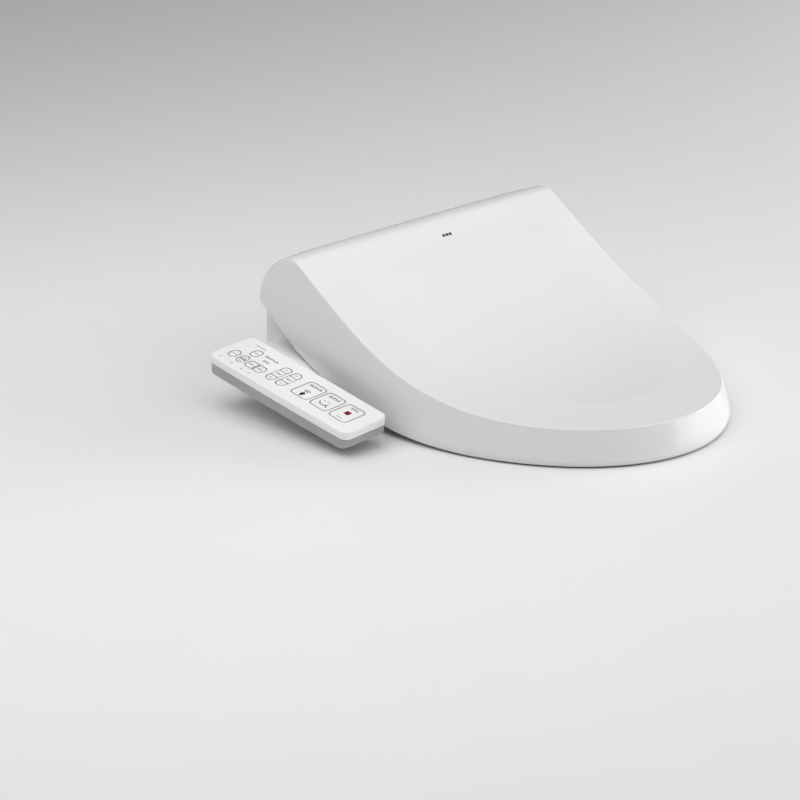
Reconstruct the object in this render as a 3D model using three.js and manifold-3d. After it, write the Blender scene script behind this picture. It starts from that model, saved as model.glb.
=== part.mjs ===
// Electric bidet seat with a side control panel, in millimetres, +Z up.
// The front of the seat faces -Y and the control panel is on the -X side.
// Origin: midway between the two fixing bolts, on the plane of the bowl's rim.
import * as THREE from "three";
import { mergeVertices } from "three/addons/utils/BufferGeometryUtils.js";
import Module from "manifold-3d";

// ---- Driving dimensions ----------------------------------------------------

const GAP = 0.3; // between faces that touch
const WALL = 3; // plastic shells
const AXIS_Y = -16.5; // hinge axis, shared by the seat and the lid
const AXIS_Z = 107;

const LID_HALF_WIDTH = 191; // top edge
const LID_LENGTH = 385; // from the crown line to the front of the top edge
const LID_CROWN_Y = -25;
const LID_STRAIGHT = 97.4; // length of the straight sides, ahead of the crown line
const LID_PLAN_POWER_X = 2.03; // the front is a superellipse
const LID_PLAN_POWER_Y = 2.08;
const LID_FRONT_TOP = 39.4; // height of the top face at the front
const LID_RISE = 116; // from there to the crown line
const LID_LOBE_R = 49; // rear roll, about the hinge axis
const LID_LOBE_END = THREE.MathUtils.degToRad(-10);
const LID_CROWN = THREE.MathUtils.degToRad(100); // where the roll meets the top face
const LID_DRAFT = 9.2; // how far the wall slopes out from the top edge to the bottom edge
const LID_RIM_Z = 2; // bottom edge along the sides and the front
const LID_WALL_BULGE = [ // the wall's departure from a straight slope, as [share of its height, mm]
  [0, -2.6],
  [0.22, 1.8],
  [0.6, 1.2],
  [1, 0],
];
const LID_REAR_FLARE = 0.8; // the slope at the rear end, from which it grows forward to the full draft
const LID_BULGE_HEIGHT = 30; // lower stretches of wall bulge less
const LID_HOLLOW_DROP = 12; // how far the hollow's cutter passes the lower edge
const LID_BOSS = { r: 11, inner: 183, outer: 191.5, bore: 186 };

const SEAT_INSET = 10.5; // seat outline inside the lid's top edge
const SEAT_REAR_Y = -84;
const SEAT_CORNER_R = 22;
const REAR_BAR = { high: 58, low: 90, lift: 19.5 }; // half-widths and height of the raised underside
const SEAT_HOLE = { y: -232, halfWidth: 104, halfLength: 119 };
const SEAT_FRONT_TOP = 28;
const SEAT_RISE = 20;
const SEAT_PLATE = { bottom: 6, top: 9 };
const SEAT_SKIN = 2.6;
const SEAT_PADS = [ // rubber feet, as end, y, x and turn in plan
  ["rear", -128, 140, 0],
  ["front", -330, 86, 0.62],
];
const ARM_INNER = 169.5;
const ARM_OUTER = 181.5;
const HUB_R = 12.5;
const SHAFT_R = 6;
const BORE_R = 6.6;

const BODY_HALF_WIDTH = 168;
const BODY_FRONT_Y = -78;
const BODY_REAR_Y = 50;
const BODY_REAR_TOP = 92;
const BARREL_R = 39.5;
const TROUGH_R = 51.5; // the lid's rear skin sweeps between barrel and trough
const TROUGH_END = THREE.MathUtils.degToRad(-113);
const PLATE_TOP = 8;

const PANEL = {
  length: 216,
  width: 60,
  corner: 9,
  coverHeight: 9.6,
  trayHeight: 13,
  taper: 2, // extra width at the rear end, on the outer side
  x: -242,
  y: -84.2,
  z: 47.7,
  pitch: THREE.MathUtils.degToRad(8.44),
  roll: THREE.MathUtils.degToRad(-4.5),
};
const ARM_PANEL_X = -210.4;
const BRACKET = { halfWidth: 110, halfDepth: 30, thickness: 3, boltX: 77.5, recess: 6.1 };
const BOLT_PLATE = { halfWidth: 20, halfDepth: 14, thickness: 2.2, holeR: 4.2 };
const SHAFT_X = [140, 185.4];
const DAMPER = { r: 14, x: [96, 139.7] };
const LID_BUMPER = { x: 148, y: -205, r: 7 };
const SIDES = [
  ["left", -1],
  ["right", 1],
];
const KEY_GAP = 0.35;
const KEY_DEPTH = 2.4;

const NOZZLE = { r: 6, length: 120, spacing: 24, tipY: -102, tipZ: 10.5 };
const NOZZLE_SLOPE = THREE.MathUtils.degToRad(18);

// ---- Materials -------------------------------------------------------------

const plastic = (color, roughness) =>
  new THREE.MeshStandardMaterial({ color, roughness, metalness: 0 });
const metal = (color, roughness) =>
  new THREE.MeshStandardMaterial({ color, roughness, metalness: 1 });

const glossWhite = () => plastic(0xf0eeee, 0.15);
const satinWhite = () => plastic(0xe8e6e6, 0.35);
const keyWhite = () => plastic(0xf5f4f4, 0.3);
const trayGrey = () => plastic(0xa5a3a6, 0.4);
const darkGrey = () => plastic(0x4b4d52, 0.5);
const softRubber = () => plastic(0xb9bbbd, 0.8);
const boardGreen = () => plastic(0x1d5b3c, 0.5);
const innerGrey = () => plastic(0x8f9296, 0.5);
const amberFoil = () => plastic(0xb4763a, 0.4);
const steel = () => metal(0xc4c7ca, 0.3);
const brass = () => metal(0xc2a05a, 0.3);

// ---- Solids ----------------------------------------------------------------

const wasm = await Module();
wasm.setup();

// A closed three.js geometry as a solid that can be joined and cut.
function solid(geometry) {
  const bare = geometry.clone();
  bare.deleteAttribute("normal");
  bare.deleteAttribute("uv");
  const merged = mergeVertices(bare, 1e-4);
  return new wasm.Manifold(
    new wasm.Mesh({
      numProp: 3,
      vertProperties: new Float32Array(merged.attributes.position.array),
      triVerts: new Uint32Array(merged.index.array),
    }),
  );
}

function geometryOf(body) {
  const mesh = body.getMesh();
  const geometry = new THREE.BufferGeometry();
  const positions = new Float32Array(mesh.vertProperties);
  geometry.setAttribute("position", new THREE.BufferAttribute(positions, 3));
  geometry.setIndex(new THREE.BufferAttribute(new Uint32Array(mesh.triVerts), 1));
  geometry.computeVertexNormals();
  return geometry;
}

// The range from `near` to `far` on one side of the middle plane, low end first.
const span = (side, near, far) => (side > 0 ? [near, far] : [-far, -near]);

const join = (...bodies) => bodies.reduce((whole, body) => whole.add(body));
const cut = (whole, ...tools) => tools.reduce((left, tool) => left.subtract(tool), whole);

function box(x0, x1, y0, y1, z0, z1) {
  const geometry = new THREE.BoxGeometry(x1 - x0, y1 - y0, z1 - z0);
  geometry.translate((x0 + x1) / 2, (y0 + y1) / 2, (z0 + z1) / 2);
  return solid(geometry);
}

// A cylinder along X.
function barX(r, x0, x1, y, z, sides = 24) {
  const geometry = new THREE.CylinderGeometry(r, r, x1 - x0, sides);
  geometry.rotateZ(Math.PI / 2);
  geometry.translate((x0 + x1) / 2, y, z);
  return solid(geometry);
}

// A cylinder along Z.
function barZ(r, x, y, z0, z1, sides = 24) {
  const geometry = new THREE.CylinderGeometry(r, r, z1 - z0, sides);
  geometry.rotateX(Math.PI / 2);
  geometry.translate(x, y, (z0 + z1) / 2);
  return solid(geometry);
}

// A side outline, given as (y, z) points, extruded along X.
function extrudeX(points, x0, x1) {
  const shape = new THREE.Shape(points);
  const geometry = new THREE.ExtrudeGeometry(shape, { depth: x1 - x0, bevelEnabled: false });
  const turn = new THREE.Matrix4().makeBasis(
    new THREE.Vector3(0, 1, 0),
    new THREE.Vector3(0, 0, 1),
    new THREE.Vector3(1, 0, 0),
  );
  geometry.applyMatrix4(turn);
  geometry.translate(x0, 0, 0);
  return solid(geometry);
}

// A plan outline extruded along Z.
function extrudeZ(shape, z0, z1, segments = 4) {
  const settings = { depth: z1 - z0, bevelEnabled: false, curveSegments: segments };
  const geometry = new THREE.ExtrudeGeometry(shape, settings);
  geometry.translate(0, 0, z0);
  return solid(geometry);
}

// A rectangle with one corner radius, or four: at low x and low y, then anticlockwise.
function roundedRect(cx, cy, width, length, radii) {
  const [a, b, c, d] = Array.isArray(radii) ? radii : [radii, radii, radii, radii];
  const [x0, x1] = [cx - width / 2, cx + width / 2];
  const [y0, y1] = [cy - length / 2, cy + length / 2];
  const shape = new THREE.Shape();
  shape.moveTo(x0 + a, y0);
  shape.lineTo(x1 - b, y0);
  shape.absarc(x1 - b, y0 + b, b, -Math.PI / 2, 0, false);
  shape.absarc(x1 - c, y1 - c, c, 0, Math.PI / 2, false);
  shape.absarc(x0 + d, y1 - d, d, Math.PI / 2, Math.PI, false);
  shape.absarc(x0 + a, y0 + a, a, Math.PI, 1.5 * Math.PI, false);
  return shape;
}

// Points of an arc about the hinge axis, in the YZ plane.
function axisArc(r, from, to, steps) {
  return Array.from({ length: steps + 1 }, (_, i) => {
    const angle = from + ((to - from) * i) / steps;
    return new THREE.Vector2(AXIS_Y + r * Math.cos(angle), AXIS_Z + r * Math.sin(angle));
  });
}

// A closed body from rings of equal length. A tube closes on itself round the last ring;
// otherwise the first and last rings are closed by strips across them, from one half to the other.
function loft(rings, tube) {
  const count = rings[0].length;
  const positions = rings.flatMap((ring) => ring.flatMap((p) => [p.x, p.y, p.z]));
  const index = [];
  const bands = tube ? rings.length : rings.length - 1;
  for (let r = 0; r < bands; r += 1) {
    const low = r * count;
    const high = ((r + 1) % rings.length) * count;
    for (let i = 0; i < count; i += 1) {
      const j = (i + 1) % count;
      index.push(low + i, low + j, high + j, low + i, high + j, high + i);
    }
  }
  if (!tube) {
    const top = (rings.length - 1) * count;
    for (let i = 0; i < count / 2 - 1; i += 1) {
      const [a, b, c, d] = [i, i + 1, count - 2 - i, count - 1 - i];
      index.push(a, c, b, a, d, c);
      index.push(top + a, top + b, top + c, top + a, top + c, top + d);
    }
  }
  const geometry = new THREE.BufferGeometry();
  const array = new Float32Array(positions);
  geometry.setAttribute("position", new THREE.BufferAttribute(array, 3));
  geometry.setIndex(index);
  return solid(geometry);
}

// ---- Scene -----------------------------------------------------------------

const group = new THREE.Group();

function place(name, body, material, parent = group) {
  const mesh = new THREE.Mesh(geometryOf(body), material);
  mesh.name = name;
  parent.add(mesh);
}

// ---- Lid -------------------------------------------------------------------

// Half the plan outline, from the side at distance `LID_STRAIGHT` to the tip at the front.
function frontCurve(grow, steps) {
  const reach = LID_LENGTH - LID_STRAIGHT + grow;
  return Array.from({ length: steps + 1 }, (_, i) => {
    const t = (Math.PI / 2) * (i / steps);
    const x = (LID_HALF_WIDTH + grow) * Math.abs(Math.cos(t)) ** (2 / LID_PLAN_POWER_X);
    const u = LID_STRAIGHT + reach * Math.sin(t) ** (2 / LID_PLAN_POWER_Y);
    return new THREE.Vector2(i === steps ? 0.5 : x, LID_CROWN_Y - u);
  });
}

function lidTopHeight(y) {
  const u = THREE.MathUtils.clamp((LID_CROWN_Y - y) / LID_LENGTH, 0, 1);
  return LID_FRONT_TOP + LID_RISE * (1 - u) ** 3 * (1 + 0.85 * u - u ** 2);
}

// Lower edge of the side wall: from the roll's end, diagonally forward, then along the rim.
const lowerEdge = new THREE.SplineCurve([
  new THREE.Vector2(31, 98),
  new THREE.Vector2(8.5, 79.7),
  new THREE.Vector2(-19.2, 60),
  new THREE.Vector2(-61.5, 40),
  new THREE.Vector2(-113.4, 22.9),
  new THREE.Vector2(-161, 12.2),
  new THREE.Vector2(-206, 6),
  new THREE.Vector2(-250, LID_RIM_Z + 0.6),
]);

const ROLL_STEPS = 10;
const SIDE_STEPS = 9;
const FRONT_STEPS = 18;
const EDGE_SIDE_SHARE = 0.52; // of the lower edge's curve that runs along the straight side
const EDGE_LEVEL = { from: 122, over: 128 }; // ahead of here the lower edge eases down to the rim

// Stations along one side of the lid. Each has a point on the top edge and one on the lower edge.
function lidStations(inset, drop) {
  const stations = [];
  const halfWidth = LID_HALF_WIDTH - inset;
  const roll = axisArc(LID_LOBE_R - inset, LID_LOBE_END, LID_CROWN, ROLL_STEPS);
  const rollFront = roll[ROLL_STEPS].x;
  const straightFront = LID_CROWN_Y - LID_STRAIGHT;
  const total = ROLL_STEPS + SIDE_STEPS;
  for (let i = 0; i < total; i += 1) {
    const low = lowerEdge.getPoint((i / total) * EDGE_SIDE_SHARE);
    const forward = rollFront + ((straightFront - rollFront) * (i - ROLL_STEPS)) / SIDE_STEPS;
    const top = i <= ROLL_STEPS ? roll[i] : new THREE.Vector2(forward, lidTopHeight(forward) - inset);
    const flare = THREE.MathUtils.lerp(LID_REAR_FLARE, LID_DRAFT, (i / total) ** 4);
    stations.push({
      top: new THREE.Vector3(halfWidth, top.x, top.y),
      low: new THREE.Vector3(halfWidth + flare, low.x, low.y - drop),
    });
  }
  const upper = frontCurve(-inset, FRONT_STEPS);
  const lower = frontCurve(LID_DRAFT - inset, FRONT_STEPS);
  upper.forEach((point, i) => {
    const edge = lower[i];
    const share = THREE.MathUtils.clamp((-edge.y - EDGE_LEVEL.from) / EDGE_LEVEL.over, 0, 1);
    const z = THREE.MathUtils.lerp(lowerEdgeHeight(edge.y), LID_RIM_Z, share);
    stations.push({
      top: new THREE.Vector3(point.x, point.y, lidTopHeight(point.y) - inset),
      low: new THREE.Vector3(edge.x, edge.y, z - drop),
    });
  });
  return stations;
}

// Height of the lower edge at a given y, by bisection along the curve.
function lowerEdgeHeight(y) {
  let [from, to] = [0, 1];
  for (let i = 0; i < 30; i += 1) {
    const middle = (from + to) / 2;
    if (lowerEdge.getPoint(middle).x > y) from = middle;
    else to = middle;
  }
  return lowerEdge.getPoint(from).y;
}

// The lid's outer body, or with an inset the hollow inside it. The hollow is `drop` deeper.
function lidBody(inset, drop) {
  const stations = lidStations(inset, drop);
  const turnY = -150; // the walls bulge sideways behind this line, and round the front ahead of it
  const ringAt = ([share, bulge]) => {
    const half = stations.map(({ top, low }) => {
      const point = low.clone().lerp(top, share);
      const outwards = new THREE.Vector2(point.x, Math.min(0, point.y - turnY)).normalize();
      const push = bulge * THREE.MathUtils.clamp((top.z - low.z) / LID_BULGE_HEIGHT, 0, 1);
      point.x += outwards.x * push;
      point.y += outwards.y * push;
      return point;
    });
    const mirrored = half.map((p) => new THREE.Vector3(-p.x, p.y, p.z));
    return [...mirrored, ...half.reverse()];
  };
  return loft(LID_WALL_BULGE.map(ringAt), false);
}

function makeLid() {
  const shell = cut(lidBody(0, 0), lidBody(WALL, LID_HOLLOW_DROP));
  const bosses = SIDES.map(([, side]) => {
    const boss = barX(LID_BOSS.r, ...span(side, LID_BOSS.inner, LID_BOSS.outer), AXIS_Y, AXIS_Z);
    return cut(boss, barX(BORE_R, ...span(side, LID_BOSS.inner - 1, LID_BOSS.bore), AXIS_Y, AXIS_Z));
  });
  place("lid_shell", join(shell, ...bosses), glossWhite());
  for (const [name, side] of SIDES) {
    const { x, y, r } = LID_BUMPER;
    const top = lidTopHeight(y - r) - WALL - 2 * GAP;
    const bottom = seatTopHeight(y + r) + 2 * GAP;
    place(`lid_bumper_${name}`, barZ(r, side * x, y, bottom, top, 16), softRubber());
  }
}

// ---- Seat ------------------------------------------------------------------

// Outer outline of the seat ring: the lid's plan moved inwards, squared off at the rear.
function seatOutline() {
  const halfWidth = LID_HALF_WIDTH - SEAT_INSET;
  const corner = [0, 1, 2, 3].map((i) => {
    const angle = Math.PI / 2 - (Math.PI / 6) * i;
    const [cx, cy] = [halfWidth - SEAT_CORNER_R, SEAT_REAR_Y - SEAT_CORNER_R];
    return new THREE.Vector2(cx + SEAT_CORNER_R * Math.cos(angle), cy + SEAT_CORNER_R * Math.sin(angle));
  });
  const rear = [0, 30, REAR_BAR.high, REAR_BAR.low, 125].map((x) => new THREE.Vector2(x, SEAT_REAR_Y));
  const half = [...rear, ...corner, ...frontCurve(-SEAT_INSET, 16)];
  half[half.length - 1].x = 0;
  const other = half.slice(1, -1).map((p) => new THREE.Vector2(-p.x, p.y)).reverse();
  return [...half, ...other];
}

function seatTopHeight(y) {
  const u = THREE.MathUtils.clamp((LID_CROWN_Y - y) / LID_LENGTH, 0, 1);
  return SEAT_FRONT_TOP + SEAT_RISE * (1 - u) ** 1.6;
}

// How far the underside rises at a station of the outline, to clear the nozzles at the rear.
function rearLift(outer) {
  if (outer.y < SEAT_REAR_Y - 1) return 0;
  const share = (REAR_BAR.low - Math.abs(outer.x)) / (REAR_BAR.low - REAR_BAR.high);
  return REAR_BAR.lift * THREE.MathUtils.clamp(share, 0, 1);
}

// A ring between the seat's outline and its hole. `section` gives, from the ring's width, its top
// height and the rise of its underside, points as (distance in from the outline, height).
function seatRing(section) {
  const hole = SEAT_HOLE;
  const rings = seatOutline().map((outer) => {
    const angle = Math.atan2((outer.y - hole.y) / hole.halfLength, outer.x / hole.halfWidth);
    const inner = new THREE.Vector2(
      hole.halfWidth * Math.cos(angle),
      hole.y + hole.halfLength * Math.sin(angle),
    );
    const width = outer.distanceTo(inner);
    const inwards = inner.clone().sub(outer).divideScalar(width);
    return section(width, seatTopHeight(outer.y), rearLift(outer)).map(([distance, z]) => {
      const p = outer.clone().addScaledVector(inwards, distance);
      return new THREE.Vector3(p.x, p.y, z);
    });
  });
  return loft(rings, true);
}

function makeSeat() {
  const low = SEAT_PLATE.top + GAP;
  const skin = SEAT_SKIN;
  const top = seatRing((w, z, lift) => [
    [0.5, low + lift],
    [0, z - 9],
    [2, z - 3.5],
    [7, z - 0.6],
    [w * 0.42, z],
    [w * 0.78, z - 3],
    [w - 2.5, z - 8],
    [w, z - 13],
    [w, low + lift],
    [w - skin, low + lift],
    [w - skin, z - 14],
    [w * 0.76, z - 3 - skin],
    [w * 0.42, z - skin],
    [9, z - 0.6 - skin],
    [skin, z - 9],
    [0.5 + skin, low + lift],
  ]);
  const arms = SIDES.map(([, side]) => {
    const neck = [
      new THREE.Vector2(AXIS_Y - 1.5, AXIS_Z - HUB_R + 0.1),
      new THREE.Vector2(-104, 17),
      new THREE.Vector2(-126, 26),
      new THREE.Vector2(-112, 42),
      new THREE.Vector2(-82, 62),
      new THREE.Vector2(AXIS_Y - HUB_R + 0.4, AXIS_Z + 2),
    ];
    const [x0, x1] = span(side, ARM_INNER, ARM_OUTER);
    const arm = join(extrudeX(neck.reverse(), x0, x1), barX(HUB_R, x0, x1, AXIS_Y, AXIS_Z));
    return cut(arm, barX(BORE_R, x0 - 1, x1 + 1, AXIS_Y, AXIS_Z));
  });
  place("seat_top", join(top, ...arms), satinWhite());

  const { bottom, top: plateTop } = SEAT_PLATE;
  const plate = seatRing((w, z, lift) => [
    [1, bottom + lift],
    [1, plateTop + lift],
    [w - 1, plateTop + lift],
    [w - 1, bottom + lift],
  ]);
  place("seat_base", plate, satinWhite());
  const heater = seatRing((w, z) => [
    [w * 0.45, z - skin - 1.9],
    [w * 0.45, z - skin - 1.4],
    [w * 0.7, z - skin - 3.6],
    [w * 0.7, z - skin - 4.1],
  ]);
  place("seat_heater", heater, amberFoil());

  for (const [end, y, x, turn] of SEAT_PADS) {
    for (const [name, side] of SIDES) {
      const pad = extrudeZ(roundedRect(0, 0, 12, 34, 5.9), 0, bottom - GAP);
      const angle = THREE.MathUtils.radToDeg(-side * turn);
      const placed = pad.rotate([0, 0, angle]).translate([side * x, y, 0]);
      place(`seat_bumper_${end}_${name}`, placed, softRubber());
    }
  }
}

// ---- Body: the fixed unit behind the seat ----------------------------------

// Side outline of the body. A growing inset gives the inside of the shell.
function bodyOutline(inset) {
  const frontJoin = THREE.MathUtils.degToRad(-171);
  const barrel = BARREL_R - inset;
  const trough = TROUGH_R + inset;
  const step = TROUGH_END - inset / 47;
  const reach = Math.asin((BODY_REAR_TOP - inset - AXIS_Z) / trough);
  return [
    new THREE.Vector2(BODY_REAR_Y - inset, BODY_REAR_TOP - inset),
    ...axisArc(trough, reach, step, 12),
    ...axisArc(barrel, step, frontJoin + 2 * Math.PI, 26),
    new THREE.Vector2(BODY_FRONT_Y + 5 + inset, 50 - inset),
    new THREE.Vector2(BODY_FRONT_Y + inset, 44 - inset),
    new THREE.Vector2(BODY_FRONT_Y + inset, inset > 0 ? 0 : PLATE_TOP + GAP),
    new THREE.Vector2(BODY_REAR_Y - inset, inset > 0 ? 0 : PLATE_TOP + GAP),
  ];
}

const FILTER = { y0: -8, y1: 42, z0: 14, z1: 44, depth: 46 };
const RELEASE = { y: -34, z: 24, width: 20, height: 12 };
const INLET = { y: 34, z: 60 };
const CORD = { y: -62, z: 24, r: 7 };
const DRAIN = { y: -52, z: 44, r: 6 };
const HOUSING = { halfWidth: 42, front: -104, rear: -70, top: 24.5 };

function makeBody() {
  const wall = 2.5;
  const outer = extrudeX(bodyOutline(0), -BODY_HALF_WIDTH, BODY_HALF_WIDTH);
  const inner = extrudeX(bodyOutline(wall), -BODY_HALF_WIDTH + wall, BODY_HALF_WIDTH - wall);
  const side = [BODY_HALF_WIDTH - 6, BODY_HALF_WIDTH + 2];
  const noseX = HOUSING.halfWidth + GAP;
  const cover = cut(
    outer,
    inner,
    barX(BORE_R, -BODY_HALF_WIDTH - 1, BODY_HALF_WIDTH + 1, AXIS_Y, AXIS_Z),
    box(...side, FILTER.y0, FILTER.y1, FILTER.z0, FILTER.z1),
    box(
      ...side,
      RELEASE.y - RELEASE.width / 2,
      RELEASE.y + RELEASE.width / 2,
      RELEASE.z - RELEASE.height / 2,
      RELEASE.z + RELEASE.height / 2,
    ),
    barX(9, ...side, INLET.y, INLET.z),
    barX(CORD.r, ...side, CORD.y, CORD.z),
    barX(DRAIN.r, ...side, DRAIN.y, DRAIN.z),
    box(-noseX, noseX, BODY_FRONT_Y - 1, HOUSING.rear + 4, 4, HOUSING.top + 5),
  );
  place("main_cover", cover, satinWhite());

  const [recessX, recessY] = [BRACKET.halfWidth + GAP, BRACKET.halfDepth + GAP];
  const plate = cut(
    box(-BODY_HALF_WIDTH, BODY_HALF_WIDTH, BODY_FRONT_Y, BODY_REAR_Y, 0, PLATE_TOP),
    box(-recessX, recessX, -recessY, recessY, -1, BRACKET.recess),
    box(-noseX, noseX, BODY_FRONT_Y - 1, HOUSING.rear + GAP, -1, PLATE_TOP + 1),
  );
  place("base_plate", plate, innerGrey());

  const slots = SIDES.map(([, s]) =>
    extrudeZ(roundedRect(s * BRACKET.boltX, 0, 9, 36, 4.4), -1, BRACKET.thickness + 1, 4),
  );
  const frame = box(
    -BRACKET.halfWidth, BRACKET.halfWidth, -BRACKET.halfDepth, BRACKET.halfDepth, 0, BRACKET.thickness,
  );
  place("mounting_bracket", cut(frame, ...slots), innerGrey());
  for (const [name, s] of SIDES) {
    const x = s * BRACKET.boltX;
    const { halfWidth, halfDepth, thickness, holeR } = BOLT_PLATE;
    const low = BRACKET.thickness + GAP;
    const block = box(x - halfWidth, x + halfWidth, -halfDepth, halfDepth, low, low + thickness);
    place(`bolt_plate_${name}`, cut(block, barZ(holeR, x, 0, 0, PLATE_TOP, 16)), innerGrey());
  }

  for (const [name, s] of SIDES) {
    place(`hinge_shaft_${name}`, barX(SHAFT_R, ...span(s, ...SHAFT_X), AXIS_Y, AXIS_Z), steel());
    place(`hinge_damper_${name}`, barX(DAMPER.r, ...span(s, ...DAMPER.x), AXIS_Y, AXIS_Z), darkGrey());
  }

  place("water_tank", box(50, 112, -72, 16, 12, 42), innerGrey());
  const valve = join(box(118, 150, 25, 47, 48, 56), barX(8, 122, 146, 36, 60, 16));
  place("solenoid_valve", valve, darkGrey());
  place("deodoriser_fan", box(56, 112, 20, 46, 12, 54), darkGrey());
  place("main_board", box(-158, -62, -70, 16, 14, 22), boardGreen());
  const pipe = cut(
    join(barX(10.3, 168.3, 186, INLET.y, INLET.z, 20), barX(8.6, 154, 168.4, INLET.y, INLET.z, 20)),
    barX(6, 153, 187, INLET.y, INLET.z, 16),
  );
  place("inlet_fitting", pipe, brass());
  const gland = join(
    barX(9.5, 168.3, 171, CORD.y, CORD.z, 20),
    barX(CORD.r - GAP, 160, 178, CORD.y, CORD.z, 20),
  );
  place("cord_gland", cut(gland, barX(3.6, 159, 179, CORD.y, CORD.z, 12)), darkGrey());
  const plug = join(
    barX(8, 168.3, 170.5, DRAIN.y, DRAIN.z, 20),
    barX(DRAIN.r - GAP, 158, 168.4, DRAIN.y, DRAIN.z, 20),
  );
  const slot = box(169.4, 171, DRAIN.y - 4, DRAIN.y + 4, DRAIN.z - 0.8, DRAIN.z + 0.8);
  place("drain_plug", cut(plug, slot), satinWhite());
}

// ---- Nozzles, in a frame laid along their slope ----------------------------

function makeNozzles() {
  const housing = box(-HOUSING.halfWidth, HOUSING.halfWidth, HOUSING.front, HOUSING.rear, 0.4, HOUSING.top);
  const slope = new THREE.Group();
  slope.position.set(0, NOZZLE.tipY, NOZZLE.tipZ);
  slope.rotation.x = NOZZLE_SLOPE;
  slope.updateMatrixWorld(true);
  group.add(slope);
  const along = (r, x, y0, y1, sides) => {
    const geometry = new THREE.CylinderGeometry(r, r, y1 - y0, sides);
    geometry.translate(x, (y0 + y1) / 2, 0);
    return geometry;
  };
  const bores = SIDES.map(([, s]) => {
    const geometry = along(NOZZLE.r + 0.9, (s * NOZZLE.spacing) / 2, -12, 60, 20);
    return solid(geometry.applyMatrix4(slope.matrixWorld));
  });
  place("nozzle_housing", cut(housing, ...bores), satinWhite());
  for (const [name, s] of [["rear_wash", 1], ["front_wash", -1]]) {
    const x = (s * NOZZLE.spacing) / 2;
    const tip = solid(along(NOZZLE.r - 0.4, x, 1.5, 13.7, 20));
    const jets = box(x - 1, x + 1, 4, 9, 3, 7);
    place(`${name}_nozzle_tip`, cut(tip, jets), innerGrey(), slope);
    const tube = solid(along(NOZZLE.r, x, 14, NOZZLE.length, 20));
    place(`${name}_nozzle`, tube, steel(), slope);
    const motor = solid(along(9, s * 32, 50, 74, 16));
    place(`${name}_motor`, motor, darkGrey(), slope);
  }
}

// ---- Control panel, in its own tilted frame --------------------------------

// Keys as [name, place along the panel, place across it, length, width, corner radii]. Places are
// shares of the panel's length from the rear and of its width from the outer edge. The radii are at
// the outer front, inner front, inner rear and outer rear corners.
const BIG_KEY = [27, 32.6, [5.5, 5.5, 5.5, 5.5]];
const OVAL = [11.6, 15.6, [5.6, 5.6, 5.6, 5.6]];
const OUTER_OVAL = [11.6, 7.8, [5.6, 0.4, 0.4, 5.6]];
const INNER_OVAL = [11.6, 7.8, [0.4, 5.6, 5.6, 0.4]];
const OUTER_PILL = [12.6, 11, [5.8, 0.4, 0.4, 5.8]];
const INNER_PILL = [12.6, 11, [0.4, 5.8, 5.8, 0.4]];
const REAR_CELL = [13, 14, [0.4, 0.4, 4.5, 4.5]];
const FRONT_CELL = [13, 14, [4.5, 4.5, 0.4, 0.4]];
const KEYS = [
  ["power", 0.083, 0.335, ...OVAL],
  ["wide_spray", 0.15, 0.25, ...OUTER_OVAL],
  ["moving_spray", 0.15, 0.39, ...INNER_OVAL],
  ["energy_saver", 0.152, 0.63, ...OVAL],
  ["water_heat", 0.218, 0.31, ...REAR_CELL],
  ["seat_heat", 0.281, 0.31, ...FRONT_CELL],
  ["pressure_less", 0.37, 0.285, ...OUTER_PILL],
  ["pressure_more", 0.37, 0.655, ...INNER_PILL],
  ["nozzle_back", 0.443, 0.285, ...OUTER_PILL],
  ["nozzle_forward", 0.443, 0.655, ...INNER_PILL],
  ["rear_wash", 0.585, 0.49, ...BIG_KEY],
  ["front_wash", 0.721, 0.49, ...BIG_KEY],
  ["stop", 0.86, 0.49, ...BIG_KEY],
];

function keyShape([, along, across, length, width, radii], grow) {
  const x = (across - 0.5) * PANEL.width;
  const y = (0.5 - along) * PANEL.length;
  const grown = radii.map((r) => r + grow);
  return roundedRect(x, y, width + 2 * grow, length + 2 * grow, grown);
}

// The panel's outline moved inwards. Its outer side leans out towards the rear.
function panelOutline(inset) {
  const { length, width, corner, taper } = PANEL;
  const shape = roundedRect(0, 0, width - 2 * inset, length - 2 * inset, corner - inset);
  const lean = (p) => {
    const share = THREE.MathUtils.clamp(p.y / length + 0.5, 0, 1);
    return new THREE.Vector2(p.x < 0 ? p.x - taper * share : p.x, p.y);
  };
  return new THREE.Shape(shape.getPoints(6).map(lean));
}

function makePanel() {
  const panel = new THREE.Group();
  panel.position.set(PANEL.x, PANEL.y, PANEL.z);
  panel.rotation.set(PANEL.pitch, PANEL.roll, 0);
  group.add(panel);
  const { length, width, coverHeight, trayHeight } = PANEL;
  const wall = 2;

  const shell = cut(
    extrudeZ(panelOutline(0), -coverHeight, 0),
    extrudeZ(panelOutline(wall), -coverHeight - 1, -wall),
    ...KEYS.map((key) => extrudeZ(keyShape(key, KEY_GAP), -wall - 1, 1, 3)),
  );
  place("panel_cover", shell, satinWhite(), panel);
  for (const key of KEYS) {
    place(`key_${key[0]}`, extrudeZ(keyShape(key, 0), -KEY_DEPTH, 0, 3), keyWhite(), panel);
  }
  const board = roundedRect(0, 0, width - 8, length - 8, 4);
  place("panel_board", extrudeZ(board, -6.4, -4.8, 3), boardGreen(), panel);

  const top = -coverHeight - GAP;
  const bottom = top - trayHeight;
  const bevel = { depth: 16, height: 7 }; // under the front end
  const wedge = [
    new THREE.Vector2(-length / 2 - 1, bottom - 1),
    new THREE.Vector2(-length / 2 + bevel.depth, bottom - 1),
    new THREE.Vector2(-length / 2 - 1, bottom + bevel.height),
  ];
  const tray = cut(
    extrudeZ(panelOutline(0.8), bottom, top),
    extrudeX(wedge, -width / 2 - 4, width / 2 + 1),
    extrudeZ(roundedRect(0, 6, width - 6, length - 24, 6), bottom + 8, top + 1),
  );
  place("panel_tray", tray, trayGrey(), panel);
}

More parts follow.
